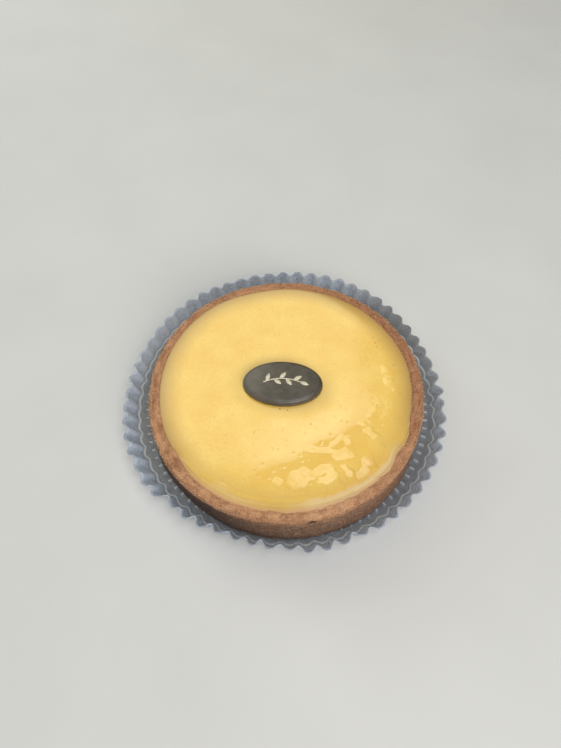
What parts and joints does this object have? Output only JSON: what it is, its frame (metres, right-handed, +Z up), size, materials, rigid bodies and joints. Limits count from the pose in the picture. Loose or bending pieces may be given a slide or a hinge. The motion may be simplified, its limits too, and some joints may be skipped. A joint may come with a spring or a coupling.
{
  "type": "lemon tart",
  "caption": "Individual lemon tart: a round short-pastry crust filled almost to the rim with glazed lemon curd, with an oval chocolate plaque on top, in a clear fluted pastry case.",
  "frame": {"origin": "on the surface under the case, in the middle of the case's outline", "axes": "+Z up, -Y towards the front, +X to the right seen from the front; the tart stands a little forward in its case"},
  "size_m": [0.1052, 0.1054, 0.0194],
  "materials": {
    "clear_plastic": "thin clear formed plastic, slightly hazy, glossy",
    "baked_pastry": "baked short pastry, dry, granular and matt",
    "glazed_curd": "smooth lemon curd under a clear wet glaze",
    "chocolate": "dark chocolate with a slight bloom, satin"
  },
  "bodies": {
    "root": {"pastry_case": "clear_plastic", "crust": "baked_pastry", "lemon_curd": "glazed_curd", "plaque": "chocolate"}
  },
  "joints": []
}
